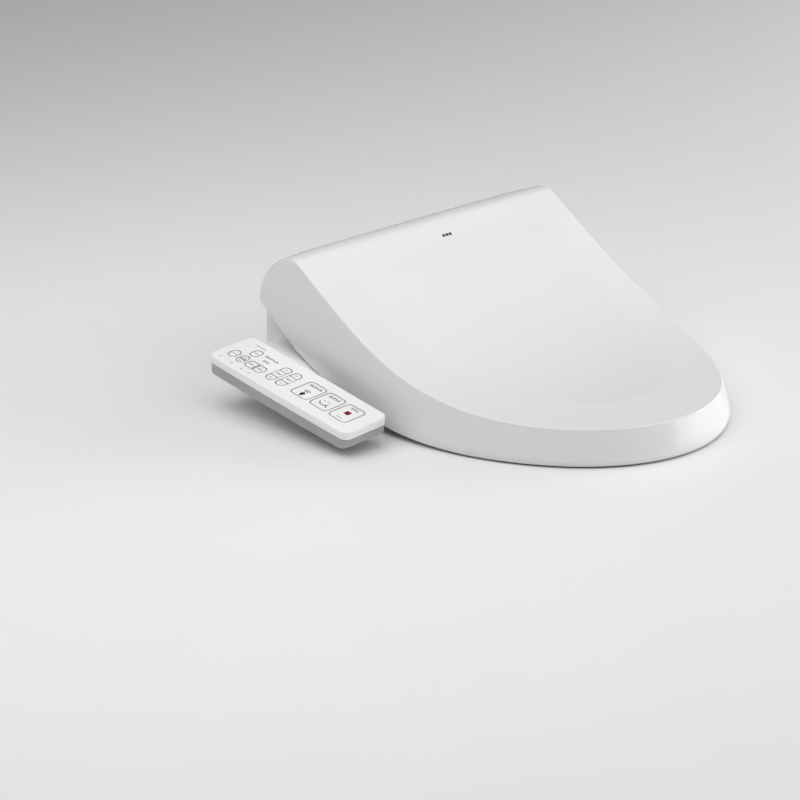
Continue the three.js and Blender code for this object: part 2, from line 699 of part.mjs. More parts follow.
// The arm that carries the panel, moulded on the side of the body.
function makeArm() {
  const outline = [
    [24, 12],
    [24, 53],
    [-8, 50.5],
    [-36, 46],
    [-60, 36.5],
    [-76, 29],
    [-76, 12],
  ].map(([y, z]) => new THREE.Vector2(y, z));
  const arm = extrudeX(outline.reverse(), ARM_PANEL_X, -BODY_HALF_WIDTH - GAP);
  place("panel_arm", arm, satinWhite());
}

// ---- Small moving pieces on the right-hand side ----------------------------

function makeSidePieces() {
  const { y0, y1, z0, z1, depth } = FILTER;
  const play = 0.4;
  const x1 = BODY_HALF_WIDTH;
  const filter = box(x1 - depth, x1, y0 + play, y1 - play, z0 + play, z1 - play);
  const grip = box(x1 - 4, x1 + 1, (y0 + y1) / 2 - 9, (y0 + y1) / 2 + 9, z1 - 9, z1 - 5);
  place("filter_cartridge", cut(filter, grip), satinWhite());
  const [w, h] = [RELEASE.width / 2 - play, RELEASE.height / 2 - play];
  const button = box(x1 - 9, x1 + 1.2, RELEASE.y - w, RELEASE.y + w, RELEASE.z - h, RELEASE.z + h);
  place("release_button", button, trayGrey());
}

makeLid();
makeSeat();
makeBody();
makeNozzles();
makePanel();
makeArm();
makeSidePieces();

export default group;
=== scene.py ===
import math

import bmesh
import bpy
import numpy as np
from mathutils import Matrix, Vector
from mathutils.bvhtree import BVHTree


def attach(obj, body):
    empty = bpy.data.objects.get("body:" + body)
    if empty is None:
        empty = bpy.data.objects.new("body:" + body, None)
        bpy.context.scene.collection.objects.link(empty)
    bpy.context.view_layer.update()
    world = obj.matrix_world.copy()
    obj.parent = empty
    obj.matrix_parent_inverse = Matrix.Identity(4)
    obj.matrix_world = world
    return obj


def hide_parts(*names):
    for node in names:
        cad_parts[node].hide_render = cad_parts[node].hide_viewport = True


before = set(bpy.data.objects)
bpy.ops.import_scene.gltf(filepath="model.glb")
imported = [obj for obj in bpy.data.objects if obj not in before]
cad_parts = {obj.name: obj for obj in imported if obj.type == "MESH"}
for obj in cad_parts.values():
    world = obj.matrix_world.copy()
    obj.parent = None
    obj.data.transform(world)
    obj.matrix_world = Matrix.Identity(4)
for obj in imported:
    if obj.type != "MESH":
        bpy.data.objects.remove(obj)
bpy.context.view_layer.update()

# Shapes are in millimetres, and MM turns them into Blender's metres.
MM = 0.001

# ---- Shape of the lid, the seat and the panel, as in the CAD ----------------

# The hinge axis of the seat and the lid, which runs along X.
AXIS_Y, AXIS_Z = -16.5, 107.0

# The lid's top edge in plan: half width, length, Y of its rear end and length of its straight sides.
LID_HALF_WIDTH, LID_LENGTH, LID_CROWN_Y, LID_STRAIGHT = 191.0, 385.0, -25.0, 97.4
# Exponents of the superellipse that its front follows, across and along.
FRONT_ACROSS, FRONT_ALONG = 2.03, 2.08
# Height of the top's front end, a measure of its rise, the wall's lean and the rim's height.
LID_FRONT_TOP, LID_RISE, LID_DRAFT, LID_RIM_Z = 39.4, 116.0, 9.2, 2.0
LID_WALL = 2.8
# The roll behind the crown goes round the hinge axis. Its angles go from the rear upwards.
LOBE_R, LOBE_START, LOBE_END = 49.0, math.radians(-10), math.radians(100)
# Points on the roll. The smoothing at its end fades out over a number of points and is repeated.
ROLL_POINTS, CROWN_SPREAD, CROWN_PASSES = 95, 9, 10
# The roll is crowned this much at its middle. The swelling of its ends starts and is full at these
# distances from the middle.
ROLL_CROWN, SWELL_START, SWELL_FULL = 1.0, 150, 184
# The lid's middle stands this high above the band round its edge. The band ends at a crease of this
# half width, straight as far as a Y and rounded over a reach in front of it.
MIDDLE_RISE = 5.2
CREASE_HALF_WIDTH, CREASE_STRAIGHT_Y, CREASE_REACH, CREASE_POWER = 148.0, -75.0, 272.0, 2.1
# Rows of the lid's mesh along its straight sides and round its front, and columns across its top.
SIDE_ROWS, FRONT_ROWS, ACROSS = 112, 100, 64

# The seat: inset from the lid's top edge, rear edge, radius of the rear corners and the hole.
SEAT_INSET, SEAT_REAR_Y, SEAT_CORNER_R = 10.5, -84.0, 22.0
HOLE_Y, HOLE_HALF_WIDTH, HOLE_HALF_LENGTH = -232.0, 104.0, 119.0
# Height of its front, its rise, the shell's thickness and the lower faces of the shell and underside.
SEAT_FRONT_TOP, SEAT_RISE, SEAT_SKIN = 28.0, 20.0, 2.6
SEAT_TOP_LOW, SEAT_BASE_LOW = 9.3, 6.0
# Its rear bar is hollowed from below, in full up to one distance from the middle and not at all from
# another.
BAR_HIGH, BAR_LOW, BAR_LIFT = 58.0, 90.0, 19.5
# Its arms: distances of their faces from the middle, radius of the hub and of the bore for the pin.
ARM_INNER, ARM_OUTER, ARM_HUB_R, PIN_BORE_R = 169.5, 181.5, 12.5, 6.6

# The control panel: measures in plan, heights of its two shells, the top's thickness and the gap
# between the shells.
PANEL_LENGTH, PANEL_WIDTH, PANEL_CORNER = 216.0, 60.0, 9.0
COVER_HEIGHT, TRAY_HEIGHT, PANEL_SKIN, SHELL_GAP = 9.6, 13.0, 2.0, 0.45
# Its outer side leans out by this much over its length, and bows.
PANEL_TAPER, PANEL_BOW = 2.0, 1.0
# The middle of its top face, and its tilt.
PANEL_AT = (-242.0, -84.2, 47.7)
PANEL_PITCH, PANEL_ROLL = math.radians(8.44), math.radians(-4.5)
# Gap round a key's measures, a key's height and the inset of its outline.
KEY_GAP, KEY_HEIGHT, KEY_INSET = 0.25, 2.4, 0.05
# Top and bottom of the dark mat below the keys, against the panel's top face.
MAT_TOP, MAT_BOTTOM = -3.6, -5.0


# ---- Mesh helpers -----------------------------------------------------------


def add_object(name, mesh, body, material, replaced=()):
    """Links a mesh as a piece that rides on a body and may stand for CAD nodes."""
    piece = bpy.data.objects.new(name, mesh)
    bpy.context.scene.collection.objects.link(piece)
    piece.data.materials.clear()
    piece.data.materials.append(material)
    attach(piece, body)
    if replaced:
        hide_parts(*replaced)
    return piece


def mesh_from(name, points, faces, matrix=None, weld=0.0):
    """A smooth mesh from points in millimetres. Points closer than `weld` become one."""
    mesh = bpy.data.meshes.new(name)
    mesh.from_pydata((np.asarray(points, float) * MM).tolist(), [], faces)
    shape = bmesh.new()
    shape.from_mesh(mesh)
    if weld:
        bmesh.ops.remove_doubles(shape, verts=shape.verts, dist=weld * MM)
    bmesh.ops.recalc_face_normals(shape, faces=shape.faces)
    shape.to_mesh(mesh)
    shape.free()
    if matrix is not None:
        mesh.transform(matrix)
    mesh.shade_smooth()
    return mesh


def grid_faces(rows, columns, wrap_rows=False, wrap_columns=False):
    """Quads of a grid of points numbered row by row."""
    faces = []
    for r in range(rows if wrap_rows else rows - 1):
        for c in range(columns if wrap_columns else columns - 1):
            r2, c2 = (r + 1) % rows, (c + 1) % columns
            faces.append((r * columns + c, r * columns + c2, r2 * columns + c2, r2 * columns + c))
    return faces


def apply_modifiers(piece):
    """Bakes a piece's modifiers into its mesh."""
    bpy.context.view_layer.update()
    graph = bpy.context.evaluated_depsgraph_get()
    mesh = bpy.data.meshes.new_from_object(piece.evaluated_get(graph))
    piece.modifiers.clear()
    piece.data = mesh


def smooth_by_angle(mesh, degrees=32):
    """Smooth shading, apart from edges that turn by more than an angle."""
    mesh.shade_smooth()
    mesh.set_sharp_from_angle(angle=math.radians(degrees))


def soften(node, body, material, radius, segments=3):
    """A copy of a CAD node with its edges rounded, which stands for the node."""
    same_point, flat, sharp = 0.002 * MM, math.radians(0.6), math.radians(34)
    shape = bmesh.new()
    shape.from_mesh(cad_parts[node].data)
    bmesh.ops.remove_doubles(shape, verts=shape.verts, dist=same_point)
    bmesh.ops.dissolve_limit(shape, angle_limit=flat, verts=shape.verts, edges=shape.edges)
    mesh = bpy.data.meshes.new(node + "_body")
    shape.to_mesh(mesh)
    shape.free()
    piece = add_object(node + "_body", mesh, body, material, (node,))
    bevel = piece.modifiers.new("bevel", "BEVEL")
    bevel.width = radius * MM
    bevel.segments = segments
    bevel.limit_method = "ANGLE"
    bevel.angle_limit = sharp
    bevel.use_clamp_overlap = True
    apply_modifiers(piece)
    smooth_by_angle(piece.data)


def rounded_rect(cx, cy, width, length, radii, steps=8):
    """Outline points, anticlockwise. The radii, one or four, start at low x and low y."""
    if not isinstance(radii, tuple):
        radii = (radii,) * 4
    points = []
    for (sx, sy, start), r in zip(((-1, -1, 180), (1, -1, 270), (1, 1, 0), (-1, 1, 90)), radii):
        ox, oy = cx + sx * (width / 2 - r), cy + sy * (length / 2 - r)
        for i in range(steps + 1):
            a = math.radians(start + 90 * i / steps)
            points.append((ox + r * math.cos(a), oy + r * math.sin(a)))
    return points


def outwards(outline):
    """Unit normals of a closed anticlockwise outline."""
    p = np.asarray(outline, float)
    along = np.roll(p, -1, 0) - np.roll(p, 1, 0)
    n = np.stack([along[:, 1], -along[:, 0]], 1)
    return n / np.linalg.norm(n, axis=1, keepdims=True)


def capped(rows, columns):
    """Quads round a stack of rings, with one face at each end."""
    faces = grid_faces(rows, columns, wrap_columns=True)
    faces.append(tuple(range(columns - 1, -1, -1)))
    last = (rows - 1) * columns
    faces.append(tuple(range(last, last + columns)))
    return faces


def stacked(outline, levels):
    """Points and faces of a closed body built from (offset, height) levels of one outline."""
    p, n = np.asarray(outline, float), outwards(outline)
    rings = [np.column_stack([p + n * offset, np.full(len(p), z)]) for offset, z in levels]
    count = len(outline)
    return np.vstack(rings), capped(len(levels), count)


def fillet_levels(radius, bottom, top, steps):
    """Levels of a body whose upper edge is rounded."""
    levels = [(0.0, bottom)]
    for i in range(steps + 1):
        a = math.pi / 2 * i / steps
        levels.append((-radius * (1 - math.cos(a)), top - radius * (1 - math.sin(a))))
    return levels


def lathe(profile, steps=40):
    """Points and faces of a body turned about Z from (radius, height) points, closed at both ends."""
    turns = [2 * math.pi * i / steps for i in range(steps)]
    points = [(r * math.cos(a), r * math.sin(a), z) for r, z in profile for a in turns]
    return points, capped(len(profile), steps)


def cut(piece, cutter_mesh):
    """Takes one closed mesh out of a piece."""
    cutter = bpy.data.objects.new("cutter", cutter_mesh)
    bpy.context.scene.collection.objects.link(cutter)
    boolean = piece.modifiers.new("cut", "BOOLEAN")
    boolean.operation = "DIFFERENCE"
    boolean.solver = "EXACT"
    boolean.object = cutter
    apply_modifiers(piece)
    bpy.data.objects.remove(cutter)


def smooth_curve(points, samples=24):
    """A Catmull-Rom curve through points."""
    p = np.asarray(points, float)
    ends = np.vstack([2 * p[0] - p[1], p, 2 * p[-1] - p[-2]])
    out = []
    for i in range(len(p) - 1):
        a, b, c, d = ends[i : i + 4]
        t = np.linspace(0, 1, samples, endpoint=False)[:, None]
        square, cube = 2 * a - 5 * b + 4 * c - d, 3 * b - a - 3 * c + d
        out.append(0.5 * (2 * b + (c - a) * t + square * t**2 + cube * t**3))
    return np.vstack(out + [p[-1:]])


# ---- Materials --------------------------------------------------------------


def shader(name, roughness, **sockets):
    """A Principled material. Values that are the same all over are set on its own sockets."""
    material = bpy.data.materials.new(name)
    material.use_nodes = True
    nodes = material.node_tree.nodes
    principled = nodes["Principled BSDF"]
    principled.inputs["Roughness"].default_value = roughness
    for key, value in sockets.items():
        principled.inputs[key.replace("_", " ")].default_value = value
    return material, nodes, material.node_tree.links, principled


def noise(nodes, links, scale, detail=2.0, stretch=None):
    """Noise from 0 to 1 over the object, `scale` features to a metre, or drawn out by `stretch`."""
    place = nodes.new("ShaderNodeTexCoord")
    texture = nodes.new("ShaderNodeTexNoise")
    texture.inputs["Scale"].default_value = scale
    texture.inputs["Detail"].default_value = detail
    source = place.outputs["Object"]
    if stretch:
        mapping = nodes.new("ShaderNodeMapping")
        mapping.inputs["Scale"].default_value = stretch
        links.new(source, mapping.inputs["Vector"])
        source = mapping.outputs["Vector"]
    links.new(source, texture.inputs["Vector"])
    return texture.outputs["Fac"]


def ranged(nodes, links, source, low, high, start=0.3, end=0.7):
    """A value that goes from `low` to `high` as the source goes from `start` to `end`."""
    remap = nodes.new("ShaderNodeMapRange")
    remap.inputs["From Min"].default_value = start
    remap.inputs["From Max"].default_value = end
    remap.inputs["To Min"].default_value = low
    remap.inputs["To Max"].default_value = high
    links.new(source, remap.inputs["Value"])
    return remap.outputs["Result"]


def tint(nodes, links, source, low, high):
    """A colour between two, by the source's value."""
    ramp = nodes.new("ShaderNodeValToRGB")
    ramp.color_ramp.elements[0].position = 0.3
    ramp.color_ramp.elements[1].position = 0.7
    ramp.color_ramp.elements[0].color = (*low, 1)
    ramp.color_ramp.elements[1].color = (*high, 1)
    links.new(source, ramp.inputs["Fac"])
    return ramp.outputs["Color"]


def bump(nodes, links, source, strength, distance, principled):
    """Small relief in the surface's normal, `distance` metres deep."""
    node = nodes.new("ShaderNodeBump")
    node.inputs["Strength"].default_value = strength
    node.inputs["Distance"].default_value = distance
    links.new(source, node.inputs["Height"])
    links.new(node.outputs["Normal"], principled.inputs["Normal"])


def moulded(name, colour, roughness, spread, grain, depth, vary, **sockets):
    """Moulded plastic: a faint cloudiness in the colour, uneven gloss and a fine surface texture."""
    material, nodes, links, principled = shader(name, roughness, **sockets)
    dark = tuple(c * (1 - vary) for c in colour)
    clouds = noise(nodes, links, 9.0, 3.0)
    links.new(tint(nodes, links, clouds, dark, colour), principled.inputs["Base Color"])
    smudge = noise(nodes, links, 45.0, 4.0)
    gloss = ranged(nodes, links, smudge, roughness - spread, roughness + spread, -0.5, 1.5)
    links.new(gloss, principled.inputs["Roughness"])
    bump(nodes, links, noise(nodes, links, grain, 2.0), depth, 0.00003, principled)
    return material


def ink(name, colour, roughness, vary):
    """A printed mark, which hardly shines."""
    return moulded(name, colour, roughness, 0.05, 1900.0, 0.1, vary, Specular_IOR_Level=0.15)


def brushed(name, colour, roughness, stretch):
    """Drawn or brushed metal, with its scratches along one direction."""
    material, nodes, links, principled = shader(name, roughness, Metallic=1.0)
    lines = noise(nodes, links, 700.0, 3.0, stretch)
    dark = tuple(c * 0.86 for c in colour)
    links.new(tint(nodes, links, lines, dark, colour), principled.inputs["Base Color"])
    gloss = ranged(nodes, links, lines, roughness - 0.06, roughness + 0.1)
    links.new(gloss, principled.inputs["Roughness"])
    bump(nodes, links, lines, 0.2, 0.00002, principled)
    return material


# Plastics: colour, roughness and its spread, grain per metre and its depth, and variation of colour.
GLOSS = moulded("gloss_white_plastic", (0.80, 0.79, 0.792), 0.16, 0.015, 260.0, 0.03, 0.008,
                IOR=1.5, Specular_IOR_Level=0.6)
SATIN = moulded("satin_white_plastic", (0.80, 0.79, 0.792), 0.28, 0.012, 500.0, 0.02, 0.006)
# The panel's white. On the panel's arm it is also painted light, a brightening of its shaded ledge.
PANEL_WHITE = moulded("panel_white_plastic", (0.95, 0.948, 0.95), 0.26, 0.02, 1300.0, 0.04, 0.008)
KEY_WHITE = moulded("key_white_plastic", (0.95, 0.95, 0.952), 0.30, 0.05, 1700.0, 0.12, 0.012)
TRAY = moulded("tray_grey_plastic", (0.41, 0.40, 0.41), 0.38, 0.06, 1500.0, 0.35, 0.05)
INNER = moulded("inner_grey_plastic", (0.40, 0.41, 0.43), 0.48, 0.07, 700.0, 0.4, 0.07)
DARK = moulded("dark_plastic", (0.035, 0.037, 0.042), 0.45, 0.08, 900.0, 0.4, 0.25)
RUBBER = moulded("grey_rubber", (0.42, 0.43, 0.44), 0.72, 0.08, 500.0, 0.6, 0.10)
BOARD = moulded("circuit_board", (0.012, 0.095, 0.045), 0.32, 0.08, 260.0, 0.5, 0.35)
FOIL = moulded("heater_foil", (0.60, 0.34, 0.13), 0.30, 0.10, 120.0, 0.8, 0.25)
PRINT = ink("printed_grey", (0.055, 0.055, 0.06), 0.45, 0.08)
PRINT_LINE = ink("printed_line", (0.035, 0.035, 0.04), 0.45, 0.08)
PRINT_BLACK = ink("printed_black", (0.012, 0.012, 0.014), 0.40, 0.2)
PRINT_RED = ink("printed_red", (0.20, 0.002, 0.003), 0.38, 0.12)
LED = moulded("led_green", (0.20, 0.72, 0.27), 0.25, 0.05, 800.0, 0.1, 0.08,
              Emission_Color=(0.12, 0.85, 0.22, 1), Emission_Strength=0.35)
STEEL = brushed("nozzle_steel", (0.64, 0.65, 0.66), 0.22, (1, 0.04, 1))
PIN_STEEL = brushed("pin_steel", (0.60, 0.61, 0.62), 0.28, (0.04, 1, 1))
BRASS = brushed("inlet_brass", (0.72, 0.55, 0.24), 0.25, (1, 0.05, 0.05))


# ---- Lid --------------------------------------------------------------------


def front_curve(grow, turn):
    """Plan points of the rounded front, from the side (turn 0) to the tip (turn 90 degrees)."""
    reach = LID_LENGTH - LID_STRAIGHT + grow
    x = (LID_HALF_WIDTH + grow) * np.abs(np.cos(turn)) ** (2 / FRONT_ACROSS)
    u = LID_STRAIGHT + reach * np.sin(turn) ** (2 / FRONT_ALONG)
    return np.where(np.abs(turn - math.pi / 2) < 1e-9, 0.0, x), LID_CROWN_Y - u


def lid_top(y):
    """Height of the lid's top face along its middle, apart from its raised middle."""
    u = np.clip((LID_CROWN_Y - y) / LID_LENGTH, 0, 1)
    return LID_FRONT_TOP + LID_RISE * (1 - u) ** 3 * (1 + 0.85 * u - u**2)


def side_profile():
    """The lid's top line as (y, z), from the roll's lower end to the front, softened at the crown."""
    turn = np.linspace(LOBE_START, LOBE_END, ROLL_POINTS)
    roll = np.stack([AXIS_Y + LOBE_R * np.cos(turn), AXIS_Z + LOBE_R * np.sin(turn)], 1)
    y = np.arange(LID_CROWN_Y - 1, LID_CROWN_Y - LID_LENGTH - 2, -1.0)
    line = np.vstack([roll, np.stack([y, lid_top(y)], 1)])
    away = np.abs(np.arange(1, len(line) - 1) - (ROLL_POINTS - 1))
    near = np.clip(1.6 - away / CROWN_SPREAD, 0, 1)[:, None]
    for _ in range(CROWN_PASSES):
        middle = (line[:-2] + 2 * line[1:-1] + line[2:]) / 4
        line[1:-1] = line[1:-1] * (1 - near) + middle * near
    return line


# Lower edge of the side wall as (y, z).
LOWER_EDGE = smooth_curve([
    (33.9, 98), (30.4, 95.2), (22.7, 90.2), (8.5, 79.7), (-19.2, 60), (-36, 50.4), (-60, 39.4),
    (-110.5, 21.8), (-157.5, 11), (-204, 5.2), (-250, 2.6), (-300, LID_RIM_Z), (-430, LID_RIM_Z)])
# How far the wall's lower edge stands out from its upper edge, by distance in front of the origin.
FLARE = np.array([(-40, 0.5), (65, 0.7), (100, 2.0), (150, 4.6), (216, 7.6), (265, LID_DRAFT)])
# The wall's departure from a straight slope, as (share of its height, mm).
WALL_BULGE = smooth_curve([(0, -2.8), (0.06, -0.7), (0.22, 1.7), (0.6, 1.2), (1, 0)])
# Radius of the roll at its two ends, by angle, where it swells towards the rear.
ROLL_END_R = np.array([
    (-10, 51.2), (0, 53.2), (15, 51.5), (32, 48.6), (55, 47.0), (70, 48.0), (85, LOBE_R)])
# Radius of the edge between the top and the wall, by distance along the top line from the roll's end.
EDGE_R = np.array([(0, 6.5), (48, 6.5), (80, 3.6), (105, 2.0), (170, 1.6)])


def oval_distance(x, y, half_width, start, reach, px, py):
    """Distance inside an outline with straight sides and a superellipse front, about zero on it."""

    def level(x, y):
        """1 on the outline and less inside it."""
        ahead = np.maximum(0, start - y) / reach
        return ((np.abs(x) / half_width) ** px + ahead**py) ** (1 / px)

    step = 0.5
    gx = (level(x + step, y) - level(x - step, y)) / (2 * step)
    gy = (level(x, y + step) - level(x, y - step)) / (2 * step)
    slope = np.maximum(np.hypot(gx, gy), 1 / 400)
    return (1 - level(x, y)) / slope


def step_up(value, low, high):
    """A smooth rise from 0 at `low` to 1 at `high`, which may be the lower of the two."""
    t = np.clip((value - low) / (high - low), 0, 1)
    return t * t * (3 - 2 * t)


def middle_rise(x, y):
    """How far the middle of the lid stands above a band round its edge."""
    start, reach = LID_CROWN_Y - LID_STRAIGHT, LID_LENGTH - LID_STRAIGHT
    edge = oval_distance(x, y, LID_HALF_WIDTH, start, reach, FRONT_ACROSS, FRONT_ALONG)
    crease = oval_distance(
        x, y, CREASE_HALF_WIDTH, CREASE_STRAIGHT_Y, CREASE_REACH, CREASE_POWER, CREASE_POWER)
    share = np.clip(edge / np.maximum(edge - np.minimum(crease, 0), 1e-6), 0, 1)
    soft = share - 0.5 * np.maximum(0, share - 0.95) ** 2 / 0.05
    return MIDDLE_RISE * soft * step_up(y, -38, -83)


def unit(vectors):
    """Vectors of length 1."""
    return vectors / np.linalg.norm(vectors, axis=-1, keepdims=True)


def arc_length(line):
    """Distance along a line of 2D points, at each of them."""
    return np.concatenate([[0], np.cumsum(np.hypot(*np.diff(line, axis=0).T))])


def normals_up(line, arc):
    """Normals of a line of (y, z) points that runs over the top of the lid."""
    slope = np.stack([np.gradient(line[:, 0], arc), np.gradient(line[:, 1], arc)], 1)
    return np.stack([slope[:, 1], -slope[:, 0]], 1)


def lid_mesh():
    """Outer skin of the lid: rows from the roll's rear end to the front, columns from wall to wall."""
    # The top line at the middle and at the ends of the roll, where it swells.
    middle = side_profile()
    arc = arc_length(middle)
    angle = np.degrees(np.arctan2(middle[:, 1] - AXIS_Z, middle[:, 0] - AXIS_Y)) % 360
    angle = np.where(angle > 300, angle - 360, angle)
    swell = np.interp(angle, *ROLL_END_R.T) - LOBE_R
    swell[middle[:, 0] < LID_CROWN_Y] = 0
    up = normals_up(middle, arc)
    ends = middle + up * swell[:, None]
    ends_up = normals_up(ends, arc)

    # Rows: along the sides, then round the front.
    front_turn = math.pi / 2 * (1 - (1 - np.linspace(0, 1, FRONT_ROWS)) ** 1.25)
    upper_x, upper_y = front_curve(0.0, front_turn)
    lower_x, lower_y = front_curve(np.interp(-upper_y, *FLARE.T), front_turn)
    front_arc = np.interp(-upper_y, -middle[ROLL_POINTS:, 0], arc[ROLL_POINTS:])
    side_share = np.linspace(0, 1, SIDE_ROWS, endpoint=False) ** 1.2
    s = np.concatenate([side_share * front_arc[0], front_arc])
    rows = len(s)

    def at(line):
        """A (y, z) line's values at the rows."""
        return [np.interp(s, arc, line[:, 0]), np.interp(s, arc, line[:, 1])]

    # Upper and lower edges of the wall.
    top_x = np.concatenate([np.full(SIDE_ROWS, LID_HALF_WIDTH), upper_x])
    top = np.stack([top_x, *at(ends)], 1)
    low_arc = arc_length(LOWER_EDGE)
    last = np.interp(-upper_y[0], -LOWER_EDGE[:, 0], low_arc)
    share = np.interp(s[:SIDE_ROWS] / s[SIDE_ROWS], [0, 0.45, 1], [0, 0.4 * last, last])
    low = np.zeros((rows, 3))
    low[:SIDE_ROWS, 1] = np.interp(share, low_arc, LOWER_EDGE[:, 0])
    low[:SIDE_ROWS, 2] = np.interp(share, low_arc, LOWER_EDGE[:, 1])
    low[SIDE_ROWS:, 1] = lower_y
    low[SIDE_ROWS:, 2] = np.interp(-lower_y, -LOWER_EDGE[:, 0], LOWER_EDGE[:, 1])
    height = np.linalg.norm((top - low)[:, 1:], axis=1)
    flare = np.interp(-low[:, 1], *FLARE.T)
    side_flare = flare[:SIDE_ROWS] * np.minimum(1, height[:SIDE_ROWS] / 40)
    low[:, 0] = np.concatenate([LID_HALF_WIDTH + side_flare, lower_x])

    # Directions at each row: n out of the wall and m out of the top.
    n = np.zeros((rows, 3))
    n[:SIDE_ROWS, 0] = 1
    d = np.gradient(np.stack([upper_x, upper_y], 1), axis=0)
    n[SIDE_ROWS:, 0], n[SIDE_ROWS:, 1] = -d[:, 1], d[:, 0]
    n[-1] = (0, -1, 0)
    n = unit(n)
    m = np.stack([np.zeros(rows), *at(ends_up)], 1)
    m = unit(m - n * (m * n).sum(1, keepdims=True))

    # Columns up the wall, round the edge and half way across the top.
    r = np.minimum(np.interp(s, *EDGE_R.T), 0.4 * height)[:, None]
    centre = top - r * n - r * m
    fullness = np.minimum(1, height / 30) * np.clip(flare / LID_DRAFT - 0.1, 0.1, 1)
    columns = []
    for v in np.concatenate([np.linspace(0, 0.12, 6, endpoint=False), np.linspace(0.12, 1, 16)]):
        push = np.interp(v, *WALL_BULGE.T) * fullness
        columns.append(low + (centre + r * n - low) * v + n * push[:, None])
    for a in np.linspace(0, math.pi / 2, 9)[1:]:
        columns.append(centre + r * (n * math.cos(a) + m * math.sin(a)))
    wall = list(columns)
    edge = columns[-1]

    # The top, from edge to edge, and the other wall as the first one's mirror image.
    swollen = np.stack(at(ends - middle), 1)
    middle_up = np.stack(at(up), 1)
    crown = arc[ROLL_POINTS]
    roll_share = (1 - step_up(s, crown - 8, crown + 40)) * step_up(s, -10, 30)
    for i in range(1, ACROSS):
        x = edge[:, 0] * (1 - 2 * i / ACROSS)
        shrink = (1 - step_up(np.abs(x), SWELL_START, SWELL_FULL))[:, None]
        crowned = ROLL_CROWN * roll_share * (1 - (x / LID_HALF_WIDTH) ** 4)
        y, z = (edge[:, 1:] - swollen * shrink + middle_up * crowned[:, None]).T
        columns.append(np.stack([x, y, z + middle_rise(x, y)], 1))
    columns += [column * (-1, 1, 1) for column in reversed(wall)]
    return np.stack(columns, 1).reshape(-1, 3), grid_faces(rows, len(columns))


def make_lid_mark(lid):
    """Three plain dashes printed on the ramp below the crown."""
    corners = [v.co for v in lid.data.vertices]
    tree = BVHTree.FromPolygons(corners, [f.vertices for f in lid.data.polygons])
    down = Vector((0, 0, -1))
    parts = []
    for x in (7.5, 12.3, 17.1):
        outline = rounded_rect(x, -42.8, 3.9, 3.0, 0.6, 3)
        heights = [tree.ray_cast(Vector((a, b, 300)) * MM, down)[0].z / MM for a, b in outline]
        points, faces = stacked(outline, [(0, -0.2), (0, 0.06)])
        # The lid's height at each point, for the lower level and again for the upper one.
        points[:, 2] += heights * 2
        parts.append((points, faces))
    points, faces = join_parts(parts)
    mesh = mesh_from("lid_mark", points, faces)
    smooth_by_angle(mesh)
    add_object("lid_mark", mesh, "lid", PRINT)


def make_lid():
    """The lid with its mark, its two hinge bosses and its two bumpers."""
    points, faces = lid_mesh()
    mesh = mesh_from("lid", points, faces, weld=0.01)
    lid = add_object("lid", mesh, "lid", GLOSS, ("lid_shell",))
    solid = lid.modifiers.new("wall", "SOLIDIFY")
    solid.thickness = LID_WALL * MM
    solid.offset = -1
    apply_modifiers(lid)
    smooth_by_angle(lid.data, 50)
    make_lid_mark(lid)
    for name, side in (("left", -1), ("right", 1)):
        turn = Matrix.Translation(Vector((side * 183, AXIS_Y, AXIS_Z)) * MM)
        turn @= Matrix.Rotation(side * math.pi / 2, 4, "Y")
        points, faces = lathe(
            [(6.7, 4), (6.7, 0.5), (7.2, 0), (10.4, 0), (11, 0.6), (11, 6), (12.5, 8)])
        boss = mesh_from(f"lid_boss_{name}", points, faces, turn)
        smooth_by_angle(boss)
        add_object(f"lid_boss_{name}", boss, "lid", GLOSS)
        soften(f"lid_bumper_{name}", "lid", RUBBER, 1.6)


# ---- Seat -------------------------------------------------------------------


def seat_stations(count=176):
    """Outer outline of the seat, the matching points of its hole, its top height and rear lift."""
    half_width = LID_HALF_WIDTH - SEAT_INSET
    turn = np.linspace(math.pi / 2, 0, 14)
    corner = np.stack([half_width - SEAT_CORNER_R + SEAT_CORNER_R * np.cos(turn),
                       SEAT_REAR_Y - SEAT_CORNER_R + SEAT_CORNER_R * np.sin(turn)], 1)
    x, y = front_curve(-SEAT_INSET, np.linspace(0, math.pi / 2, 70))
    rear_x = np.linspace(0, half_width - SEAT_CORNER_R, 24, endpoint=False)
    rear = np.stack([rear_x, np.full(24, SEAT_REAR_Y)], 1)
    half = np.vstack([rear, corner, np.stack([x, y], 1)])
    loop = np.vstack([half, half[-2:0:-1] * (-1, 1), half[:1]])
    arc = arc_length(loop)
    at = np.linspace(0, arc[-1], count, endpoint=False)
    outer = np.stack([np.interp(at, arc, loop[:, 0]), np.interp(at, arc, loop[:, 1])], 1)
    x, y = outer.T
    angle = np.arctan2((y - HOLE_Y) / HOLE_HALF_LENGTH, x / HOLE_HALF_WIDTH)
    inner = np.stack([HOLE_HALF_WIDTH * np.cos(angle), HOLE_Y + HOLE_HALF_LENGTH * np.sin(angle)], 1)
    u = np.clip((LID_CROWN_Y - y) / LID_LENGTH, 0, 1)
    height = SEAT_FRONT_TOP + SEAT_RISE * (1 - u) ** 1.6
    lift = np.where(y > SEAT_REAR_Y - 1, BAR_LIFT * step_up(np.abs(x), BAR_LOW, BAR_HIGH), 0)
    return outer, inner, height, lift


def seat_ring(section):
    """Points and faces of a ring that has a section between the seat's outline and its hole."""
    outer, inner, height, lift = seat_stations()
    width = np.hypot(*(inner - outer).T)
    inwards = (inner - outer) / width[:, None]
    points = []
    for o, i, w, z, up in zip(outer, inwards, width, height, lift):
        for distance, level in section(w, z, up):
            points.append((*(o + i * distance), level))
    columns = len(points) // len(outer)
    return points, grid_faces(len(outer), columns, wrap_rows=True, wrap_columns=True)


